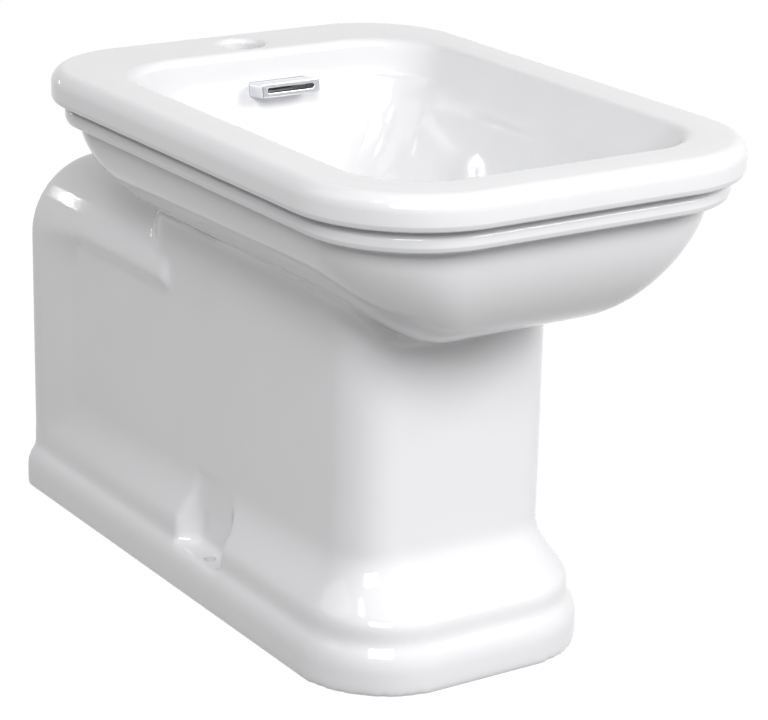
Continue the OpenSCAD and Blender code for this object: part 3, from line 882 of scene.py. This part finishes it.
@dataclass
class Pottery:
    """The moulded ceramic body: plinth, pedestal, rear box, bowl, rim and basin."""

    rim_half: float = 185.0
    rim_front: float = 325.0
    rim_rear: float = 200.0
    rim_top: float = 420.0
    rim_front_r: float = 98.0
    rim_rear_r: float = 86.0
    band_r: float = 12.0
    wall_y: float = 325.0
    plinth_half: float = 122.0
    plinth_front: float = 217.0
    plinth_r: float = 78.0
    tier: float = 22.0
    tier_top: float = 52.0
    tier_in: float = 8.0
    foot_half: float = 92.5
    panel_half: float = 108.0
    foot_front: float = 173.0
    foot_r: float = 39.0
    panel_h: float = 198.0
    neck_half: float = 101.0
    neck_rear: float = 150.0
    neck_r: float = 40.0
    cove_h: float = 24.0
    cove_turn: float = 62.0
    bowl_top: float = 376.0
    bowl_in: float = 22.0
    bowl_front_in: float = 28.0
    bowl_side_drop: float = 76.0
    bowl_front_drop: float = 98.0
    bowl_low_half: float = 88.0
    bowl_low_front: float = 182.0
    bowl_low_rear: float = 112.0
    bowl_low_r: float = 49.0
    side_bulge: float = 1.34
    front_bulge: float = 0.71
    drop_bulge: float = 1.18
    side_turn: float = 59.5
    front_turn: float = 70.8
    box_half: float = 113.9
    box_top: float = 298.0
    box_front: float = 99.0
    shoulder_r: float = 66.0
    frame_w: float = 21.0
    ramp_w: float = 56.0
    frame_r: float = 20.0
    deck_half: float = 147.0
    deck_front: float = 287.0
    deck_back: float = 134.0
    lip_r: float = 9.0
    outlet_y: float = 10.0
    outlet_r: float = 36.0
    floor_z: float = 268.0
    wall: float = 11.0
    voxel: float = 2.8

    def rim_ring(self, inset: float, z: float) -> Ring:
        """A level ring that stands in from the rim's outline."""
        return Ring.flat(self.rim_half - inset, -self.rim_front + inset, self.rim_rear - inset,
                         self.rim_front_r - inset, self.rim_rear_r - inset, z)

    def plinth_ring(self, inset: float, z: float) -> Ring:
        """A level ring that stands in from the plinth's outline."""
        return Ring.flat(self.plinth_half - inset, -self.plinth_front + inset, self.wall_y,
                         self.plinth_r - inset, 4.0, z)

    def foot_ring(self, z: float) -> Ring:
        """A level ring on the pedestal and its side panels."""
        return Ring(self.foot_half, self.panel_half, -self.foot_front, self.wall_y - 6.0,
                    self.foot_r, 14.0, z, z, z)

    def neck_ring(self, z: float, z_front: float) -> Ring:
        """A ring where the pedestal meets the cove."""
        return Ring(self.foot_half, self.neck_half, -self.foot_front, self.neck_rear,
                    self.foot_r, self.neck_r, z, z_front, z)

    def bowl_ring(self, side: float, front: float) -> Ring:
        """A ring on the bowl's curve.

        Args:
            side: Angle on the sides and the rear, 0 at the upright top.
            front: Angle at the front.

        Returns:
            The ring.
        """
        s, f = math.radians(side), math.radians(front)
        u, uf = 1.0 - math.cos(s) ** self.side_bulge, 1.0 - math.cos(f) ** self.front_bulge
        half = mix(self.rim_half - self.bowl_in, self.bowl_low_half, u)
        z = self.bowl_top - self.bowl_side_drop * math.sin(s) ** self.drop_bulge
        z_front = self.bowl_top - self.bowl_front_drop * math.sin(f) ** self.drop_bulge
        front_y = -mix(self.rim_front - self.bowl_front_in, self.bowl_low_front, uf)
        rear_y = mix(self.rim_rear - self.bowl_in, self.bowl_low_rear, u)
        r_front, r_rear = (mix(r - self.bowl_in, self.bowl_low_r, u)
                           for r in (self.rim_front_r, self.rim_rear_r))
        return Ring(half, half, front_y, rear_y, r_front, r_rear, z, z_front, z)

    def belly(self) -> list[Ring]:
        """The cove over the pedestal and the bowl's outer curve, from below.

        Returns:
            Its rings.
        """
        neck = self.neck_ring(self.bowl_top - self.bowl_side_drop - self.cove_h,
                              self.bowl_top - self.bowl_front_drop - self.cove_h + 1.0)
        start = self.bowl_ring(64.0, 76.0)
        turns = [math.radians(self.cove_turn * i / 8) for i in range(9)]
        cove = [neck.towards(start, 1.0 - math.cos(a), math.sin(a)) for a in turns]
        side, front, steps = self.side_turn, self.front_turn, 22
        edge = flowing([*cove[-2:], self.bowl_ring(side, front), self.bowl_ring(56.0, 66.5)], 5)
        curve = [self.bowl_ring(side * k / steps, front * k / steps) for k in range(steps, -1, -1)]
        return cove[:-1] + edge[5:-5] + curve

    def foot_rings(self) -> list[Ring]:
        """Rings of the plinth, the flare, the pedestal and the bowl, up into the rim.

        Returns:
            The rings, from below.
        """
        t, tier_in, low = self.tier, self.tier_in, self.tier_top
        tiers = rounded([(0.0, 0.0, 0.0), (0.0, t, 0.0), (1.6, t + 7.0, 3.0), (4.6, t + 12.5, 3.0),
                         (tier_in, t + 15.0, 1.2), (tier_in, low - 1.0, 0.0)])
        flare = [self.plinth_ring(tier_in, low)]
        for share, up in ((0.07, 3.5), (0.24, 9.0), (0.47, 16.0), (0.69, 23.5), (0.88, 32.0)):
            z = low + up
            flare.append(self.plinth_ring(tier_in, z).towards(self.foot_ring(z), share, 0.0))
        flare += [self.foot_ring(low + 42.0), self.foot_ring(low + 56.0)]
        top = low + self.panel_h
        collar = Ring.flat(self.rim_half - self.bowl_in - 1.0,
                           -self.rim_front + self.bowl_front_in + 1.0,
                           self.rim_rear - self.bowl_in - 1.0, self.rim_front_r - self.bowl_in,
                           self.rim_rear_r - self.bowl_in, self.bowl_top + 9.0)
        return [*[self.plinth_ring(inset, z) for inset, z in tiers], *flowing(flare),
                *[self.foot_ring(z) for z in (130.0, 160.0, 190.0, 220.0, top - 8.0)],
                self.neck_ring(top, top - 4.0), *self.belly(), collar]

    def side_box(self) -> Piece:
        """The rear box with its rounded shoulders and the two recessed side panels.

        Returns:
            The box as a closed piece.
        """
        low, waist, w, front = 30.0, 130.0, self.wall_y, self.box_front
        stations = ((5.0, w, 5.0), (2.6, w - 0.7, 2.6), (1.2, w - 2.0, 1.2), (0.3, w - 3.6, 0.3),
                    (0.0, w - 5.5, 0.0), (0.0, 250.0, 0.0), (0.5, 220.0, 0.0),
                    (6.0, front + 3.0, 0.0), (8.5, front, 0.0))
        rings = []
        for inset, y, drop in stations:
            half, top, r = self.box_half - inset, self.box_top - drop, self.shoulder_r - inset
            right = [(half, low), (half, waist)]
            right += [(half - r + r * math.cos(a), top - r + r * math.sin(a))
                      for a in quarter(24)]
            outline = right + [(-x, z) for x, z in reversed(right)]
            rings.append([(x, y, z) for x, z in outline])
        box = loft("rear box", rings)
        work_on(box, Cut.TAKE_AWAY, *map(self.pocket, SIDES))
        return box

    def pocket(self, side: float) -> Piece:
        """What is taken off one side of the rear box so that the flat panel shows.

        Args:
            side: 1 for the right side, -1 for the left one.

        Returns:
            The cutter.
        """
        rear, half, far = self.wall_y - self.frame_w, self.box_half, self.box_half + 20.0
        front, r = self.box_front - 20.0, self.frame_r
        ramp = ((0.0, 0.05), (0.06, 0.7), (0.2, 2.0), (0.45, 4.4), (0.75, 7.0), (1.0, 8.6))
        fade = ((-30.0, 1.0), (-18.0, 0.84), (-7.0, 0.5), (2.0, 0.2), (8.0, 0.03))
        levels = [(-6.0, 1.0, r)]
        levels += [(r * (1.0 - math.cos(a)) * 0.999, 1.0, r * (1.0 - math.sin(a)))
                   for a in quarter(8)]
        levels += [(self.panel_h + up, deep, 0.0) for up, deep in fade]
        rings = []
        for up, deep, back in levels:
            ring = [(far, front), (far, rear - back)]
            ring += [(half - deep * sink + 0.1, rear - back * (1.0 - t) - self.ramp_w * t)
                     for t, sink in ramp]
            ring += [(half - deep * 13.0, rear - self.ramp_w - 1.5), (half - deep * 21.0, front)]
            rings.append([(side * x, y, self.tier_top + up) for x, y in ring])
        return loft("pocket", rings)

    def notch(self, side: float) -> Piece:
        """The cutter for the side notch over a floor fixing.

        Args:
            side: 1 for the right side, -1 for the left one.

        Returns:
            The cutter.
        """
        x0, y0, y1, out, r_front, r_rear = 97.0, -6.0, 63.0, 145.0, 8.0, 16.0

        def corner(cx: float, cy: float, r: float, start: float) -> Profile:
            """A rounded corner in plan."""
            turns = [math.radians(start + 15 * i) for i in range(7)]
            return [(cx + r * math.cos(a), cy + r * math.sin(a)) for a in turns]

        outline = [(out, y0), (out, y1), *corner(x0 + r_rear, y1 - r_rear, r_rear, 90.0),
                   *corner(x0 + r_front, y0 + r_front, r_front, 180.0)]
        rings = [[(side * x, y, z) for x, y in outline] for z in (35.0, 60.0, 100.0)]
        return loft("notch", rings)

    def hollow(self) -> Piece:
        """The hollow inside of the pedestal and the bowl, open to the floor and the wall.

        Returns:
            The cutter.
        """
        out, front, r = self.wall_y + 20.0, -self.foot_front, self.foot_r - self.wall
        rings = [Ring.flat(94.0, front - 18.0, out, 54.0, 8.0, -5.0),
                 Ring.flat(94.0, front - 18.0, out, 54.0, 8.0, 12.0),
                 Ring.flat(87.0, front + 2.0, out, 44.0, 8.0, 30.0)]
        inner, panel = self.foot_half - self.wall, self.panel_half - self.wall
        rings += [Ring(inner, half, front + self.wall, back, r, r_rear, z, z, z)
                  for half, back, r_rear, z in ((panel, out, 8.0, 86.0), (panel, out, 8.0, 224.0),
                                                (88.0, 139.0, 30.0, 227.0))]
        skin = self.belly()[::3]
        rings += [behind(skin, k, 1, self.wall, lambda radius: max(radius - self.wall, 12.0))
                  for k in range(len(skin))]
        last = rings[-1]
        rings.append(Ring.flat(last.half_front, last.front, last.rear, last.r_front, last.r_rear,
                               self.bowl_top + 20.0))
        return loft("inner hollow", [ring.points(10, 3) for ring in rings])

    def rear_hollow(self) -> Piece:
        """The hollow under the rear box's top, open to the wall.

        Returns:
            The cutter.
        """
        half, top, r, low = 90.0, self.box_top - self.wall, 44.0, 200.0
        arc = [(half - r + r * math.cos(a), top - r + r * math.sin(a)) for a in quarter(10)]
        outline = [(half, low), *arc, *[(-x, z) for x, z in reversed(arc)], (-half, low)]
        return loft("rear hollow", [[(x, y, z) for x, z in outline]
                                          for y in (345.0, 200.0, 82.0)])

    def fixing_hole(self, side: float) -> Piece:
        """The cutter for the hole of a floor fixing on one side."""
        profile = [(0.0, -2.0), (5.0, -2.0), (5.0, 60.0), (0.0, 60.0)]
        return lathe("fixing hole", profile, (side * 107.0, 20.0, 0.0), 32)

    def lower_body(self) -> Piece:
        """Plinth, pedestal, rear box and bowl as one soft-edged casting.

        Returns:
            The finished lower piece.
        """
        body = loft("pottery_foot", [ring.points(20, 8) for ring in self.foot_rings()])
        work_on(body, Cut.JOIN, self.side_box())
        work_on(body, Cut.TAKE_AWAY, *map(self.notch, SIDES))
        modify(body, "REMESH", mode="VOXEL", voxel_size=self.voxel * MM,
                     use_smooth_shade=True)
        modify(body, "SMOOTH", factor=0.5, iterations=10)
        work_on(body, Cut.TAKE_AWAY, self.hollow(), self.rear_hollow(),
                      *map(self.fixing_hole, SIDES))
        smooth(body, 60.0)
        return body

    def basin_rings(self) -> list[Ring]:
        """Rings of the basin's wall, from the deck's inner lip to the outlet's seat.

        Returns:
            The rings, from above. Each wall's stations are (way in from the lip, depth).
        """
        seat = self.outlet_r
        side = [(24, 22), (27.5, 26), (30, 31), (33, 42), (40.5, 56), (50.5, 75), (61, 92),
                (74, 106), (89, 121), (102, 136), (self.deck_half - seat, 152)]
        front = [(24, 22), (27.5, 26), (30, 30), (33, 40), (39, 58), (48, 76), (64, 95),
                 (94, 112), (142, 126), (208, 139), (self.deck_front + self.outlet_y - seat, 152)]
        rear = [(34.5, 18.5), (36.5, 25), (38, 32), (41, 43), (46, 60), (51, 80), (57.5, 100),
                (65, 118), (74, 132), (82, 143), (self.deck_back - self.outlet_y - seat, 152)]
        r_front = [57, 55, 56, 58, 60, 62, 66, 70, 58, 45, seat]
        r_rear = [52, 48, 46, 46, 46, 47, 49, 51, 48, 41, seat]

        def at(s: tuple[float, float], f: tuple[float, float], b: tuple[float, float],
               rf: float, rb: float) -> Ring:
            """Draws the ring through one station of each wall.

            Args:
                s: Way in and depth on the sides.
                f: The same at the front.
                b: The same at the rear.
                rf: Radius of the front corners.
                rb: Radius of the rear corners.

            Returns:
                The ring.
            """
            half = self.deck_half - s[0]
            return Ring(half, half, -self.deck_front + f[0], self.deck_back - b[0],
                        min(rf, half), min(rb, half),
                        self.rim_top - s[1], self.rim_top - f[1], self.rim_top - b[1])

        lip = [(self.lip_r * math.sin(a), self.lip_r * (1.0 - math.cos(a)))
               for a in quarter(8)[:7]]
        out = [at(p, p, p, 61.0 - 0.5 * i, 66.0 - 0.6 * i) for i, p in enumerate(lip)]
        walls = [at(*row) for row in zip(side, front, rear, r_front, r_rear)]
        return out[:-1] + flowing([out[-1], *walls])

    def upper_body(self) -> Piece:
        """Rim, mouldings, deck and basin as one crisp casting.

        Returns:
            The finished upper piece.
        """
        mould = rounded([(24.0, 375.6, 0.0), (15.5, 376.0, 0.0), (11.6, 378.2, 2.0),
                         (10.5, 381.5, 2.0), (10.5, 387.5, 2.5), (13.6, 391.3, 2.5),
                         (17.0, 391.6, 0.8), (17.0, 393.8, 0.5), (4.6, 394.0, 0.8),
                         (1.2, 395.3, 2.4), (0.0, 399.0, 3.0), (0.0, 408.0, 0.0)])
        outside = [self.rim_ring(inset, z) for inset, z in mould]
        r = self.band_r
        top = [self.rim_ring(r * (1 - math.cos(a)), self.rim_top - r * (1 - math.sin(a)))
               for a in quarter(10)]
        basin = self.basin_rings()
        seat = self.outlet_r
        under = [Ring.flat(seat, self.outlet_y - seat, self.outlet_y + seat, seat, seat,
                           self.floor_z - self.wall)]
        under += [behind(basin, k, 2, self.wall, lambda radius: radius + 6.0)
                  for k in range(len(basin) - 4, 9, -3)]
        inner = [Ring.flat(self.rim_half - 52.0, -self.rim_front + 50.0, self.deck_back - 20.0,
                           62.0, 66.0, 402.0)]
        inner += [Ring.flat(self.rim_half - inset, -self.rim_front + inset_front,
                            self.rim_rear - inset, r_front, r_rear, z)
                  for inset, inset_front, r_front, r_rear, z in (
                      (36.0, 40.0, 64.0, 52.0, 402.0), (33.5, 39.5, 64.0, 52.0, 398.0),
                      (33.0, 39.0, 64.0, 52.0, 372.0), (27.0, 33.0, 68.0, 58.0, 372.0))]
        rings = under + inner + outside + top + basin
        body = loft("pottery_rim", [ring.points(24, 8) for ring in rings])
        work_on(body, Cut.JOIN, self.collar(), self.duct())
        work_on(body, Cut.TAKE_AWAY, *self.openings())
        smooth(body, 32.0)
        return body

    def collar(self) -> Piece:
        """The thick collar round the outlet, under the basin.

        Returns:
            The collar as a solid.
        """
        r, low, high = 41.0, -52.0, -6.0
        profile = rounded([(0.0, low, 0.0), (r, low, 3.0), (r, high, 0.0), (0.0, high, 0.0)], 5)
        return lathe("collar", profile, (0.0, self.outlet_y, self.floor_z), 72)

    def duct(self) -> Piece:
        """The duct on the basin's back that leads the overflow down into the collar.

        Returns:
            The duct's outside, as a closed piece.
        """
        skin, into_wall, half, low = 33.0, 7.0, 25.0, 226.0
        depths = (50.0, 66.0, 82.0, 98.0, 114.0, 130.0)
        wall = [(self.deck_back - mix(44.0, 73.0, (d - 42.0) / 88.0), self.rim_top - d)
                for d in depths]
        foot = wall[-1][0] + skin
        side = [(110.0, 406.0), *[(y + into_wall, z) for y, z in wall], (58.0, 279.0),
                (40.0, 261.0), (40.0, low), (foot - 2.0, low), (foot + 3.0, 270.0),
                *[(y + skin, z) for y, z in reversed(wall)], (135.0, 384.0), (135.0, 406.0)]
        return loft("overflow duct", [[(x, y, z) for y, z in side] for x in (-half, half)])

    def openings(self) -> list[Piece]:
        """Cutters for the outlet's seat, the tap hole and the overflow in the upper piece.

        Returns:
            The cutters.
        """
        bore, seat, low, ledge, high = 23.0, 34.0, -60.0, -3.0, 20.0
        outlet = [(0.0, low), (bore, low), (bore, ledge), (seat, ledge), (seat, high), (0.0, high)]
        r, lip = 17.5, 4.5
        flare = [(r + lip * (1 - math.cos(a)), -lip * (1 - math.sin(a))) for a in quarter(6)]
        tap = [(0.0, -30.0), (r, -30.0), *flare[:-1], (r + lip + 0.4, 0.03), (r + lip, 5.0),
               (0.0, 5.0)]
        mouth = OverflowFrame()
        seat_size = (mouth.cover_w + mouth.seat_gap, mouth.cover_h + mouth.seat_gap,
                     mouth.seat_corner)
        hole_size = (mouth.hole_w, mouth.hole_h, mouth.hole_h / 2.0)
        return [
            lathe("outlet", outlet, (0.0, self.outlet_y, self.floor_z)),
            lathe("tap hole", tap, (0.0, 157.0, self.rim_top)),
            loft("overflow seat", [mouth.outline(seat_size, y) for y in (-40.0, 0.0)]),
            loft("overflow hole", [mouth.outline(hole_size, y) for y in (-2.0, 16.0)]),
        ]

    def build(self) -> None:
        """Makes both castings and glazes them."""
        for piece in (self.lower_body(), self.upper_body()):
            finish_piece(piece, GLAZE, Body.HOUSING, "ceramic_body")


# Studio

@dataclass(frozen=True)
class Lamp:
    """A soft rectangular lamp: its place, the point that it faces and its width and height.

    Power is in watts, roll is its turn about its own axis in degrees.
    """

    name: str
    at: Point
    aim: Point
    size: tuple[float, float]
    power: float
    roll: float = 0.0

    def hang(self) -> None:
        """Puts the lamp in its place."""
        data = bpy.data.lights.new(self.name, "AREA")
        data.shape = "RECTANGLE"
        data.size, data.size_y = self.size
        data.energy = self.power
        lamp = bpy.data.objects.new(self.name, data)
        bpy.context.scene.collection.objects.link(lamp)
        lamp.location = self.at
        lamp.rotation_mode = "QUATERNION"
        facing = (Vector(self.aim) - Vector(self.at)).to_track_quat("-Z", "Y")
        roll = Quaternion((0.0, 0.0, 1.0), math.radians(self.roll))
        lamp.rotation_quaternion = facing @ roll


LAMPS = (
    Lamp("front softbox", (-2.00, -2.85, 2.60), (0.0, 0.0, 0.25), (1.8, 1.5), 106.0),
    Lamp("left softbox", (-2.60, 0.90, 2.70), (0.0, 0.0, 0.30), (2.4, 2.4), 13.0),
    Lamp("right softbox", (2.07, -2.62, 2.17), (0.0, 0.0, 0.25), (2.0, 1.5), 94.0),
    Lamp("left window", (-1.20, -0.62, 1.90), (-0.1, -0.2, 0.1), (0.16, 0.16), 1.6),
    Lamp("rear window", (-0.43, 1.06, 0.59), (-0.1, 0.28, 0.27), (0.01, 0.16), 0.11, 40.0),
)


@dataclass
class Studio:
    """Pale floor, even room light and the camera at the photograph's viewing angle."""

    camera_at: Point = (-1.1163, -1.7469, 0.8940)
    right: Point = (0.84028, -0.54180, 0.01983)
    up: Point = (0.15890, 0.28107, 0.94644)
    back: Point = (-0.51835, -0.79212, 0.32227)
    sensor: float = 36.0
    lens: float = 128.15
    shift: tuple[float, float] = (0.02227, 0.00716)
    sight: tuple[float, float] = (0.05, 60.0)
    floor_size: float = 14.0
    floor_dark: Colour = (0.20, 0.20, 0.20)
    floor_light: Colour = (0.23, 0.23, 0.23)
    floor_glow: float = 1.60
    floor_share: float = 0.6
    fill: float = 0.165

    def camera(self) -> None:
        """Sets the camera where the photograph was taken from."""
        data = bpy.data.cameras.new("camera")
        data.sensor_fit = "HORIZONTAL"
        data.sensor_width = self.sensor
        data.lens = self.lens
        data.shift_x, data.shift_y = self.shift
        data.clip_start, data.clip_end = self.sight
        eye = bpy.data.objects.new("camera", data)
        bpy.context.scene.collection.objects.link(eye)
        turn = Matrix((self.right, self.up, self.back)).transposed().to_4x4()
        eye.matrix_world = Matrix.Translation(self.camera_at) @ turn
        bpy.context.scene.camera = eye

    def floor(self) -> None:
        """Lays a wide pale floor that is seen white and keeps the shadow."""
        clear()
        bpy.ops.mesh.primitive_grid_add(x_subdivisions=8, y_subdivisions=8, size=self.floor_size)
        floor = bpy.context.object
        floor.name = "studio floor"
        made = bpy.data.materials.new("studio floor")
        nodes = Nodes.fresh(made)
        where = nodes.add("ShaderNodeTexCoord").outputs["Object"]
        grain = nodes.add("ShaderNodeTexNoise", Vector=where, Scale=3.0, Detail=2.0)
        tone = nodes.tone(grain.outputs["Fac"], self.floor_dark, self.floor_light)
        matt = nodes.add("ShaderNodeBsdfPrincipled", Base_Color=tone, Roughness=0.9,
                         Specular_IOR_Level=0.1)
        glow = nodes.add("ShaderNodeEmission", Color=WHITE, Strength=self.floor_glow)
        shown = nodes.seen_white(matt.outputs["BSDF"], glow.outputs["Emission"], self.floor_share)
        nodes.add("ShaderNodeOutputMaterial", Surface=shown)
        floor.data.materials.append(made)

    def world(self) -> None:
        """Fills the room with even soft light, seen as white."""
        world = bpy.data.worlds.new("studio")
        bpy.context.scene.world = world
        nodes = Nodes.fresh(world)
        fill, seen = (nodes.add("ShaderNodeBackground", Color=WHITE, Strength=strength)
                      for strength in (self.fill, 1.0))
        shown = nodes.seen_white(fill.outputs["Background"], seen.outputs["Background"], 1.0)
        nodes.add("ShaderNodeOutputWorld", Surface=shown)

    def set_up(self) -> None:
        """Puts camera, floor, world and lamps in place."""
        self.camera()
        self.floor()
        self.world()
        for lamp in LAMPS:
            lamp.hang()
        bpy.context.scene.view_settings.view_transform = "Standard"


# Order of work

NODE_FINISH: dict[str, Finish] = {node: finish for finish, nodes in (
    (GLAZE, ("ceramic_body",)),
    (CHROME, ("overflow_cover", "waste_body", "plug_cap")),
    (BRASS, ("back_nut", "plug_stem", "stem_nut")),
    (RUBBER, ("overflow_seal", "waste_flange_seal", "outlet_gasket", "plug_seal")),
    (PLASTIC, ("overflow_insert", "slip_washer", "cartridge_barrel", "cartridge_cap")),
    (STEEL, ("cartridge_spring",)),
) for node in nodes}


def corners(box: Iterable[Vector]) -> list[list[float]]:
    """The two corners of a box as plain lists."""
    return [list(corner) for corner in box]


def main() -> None:
    """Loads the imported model, dresses it, adds the fine pieces and sets up the studio."""
    logging.basicConfig(level=logging.INFO, format="%(name)s: %(message)s")
    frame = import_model()
    for name, node in frame["nodes"].items():
        NODE_FINISH[name].dress(node)
    for part in (Pottery(), OverflowFrame(), Waste()):
        part.build()
    Studio().set_up()
    log.info("scene is ready")


if __name__ == "__main__":
    main()
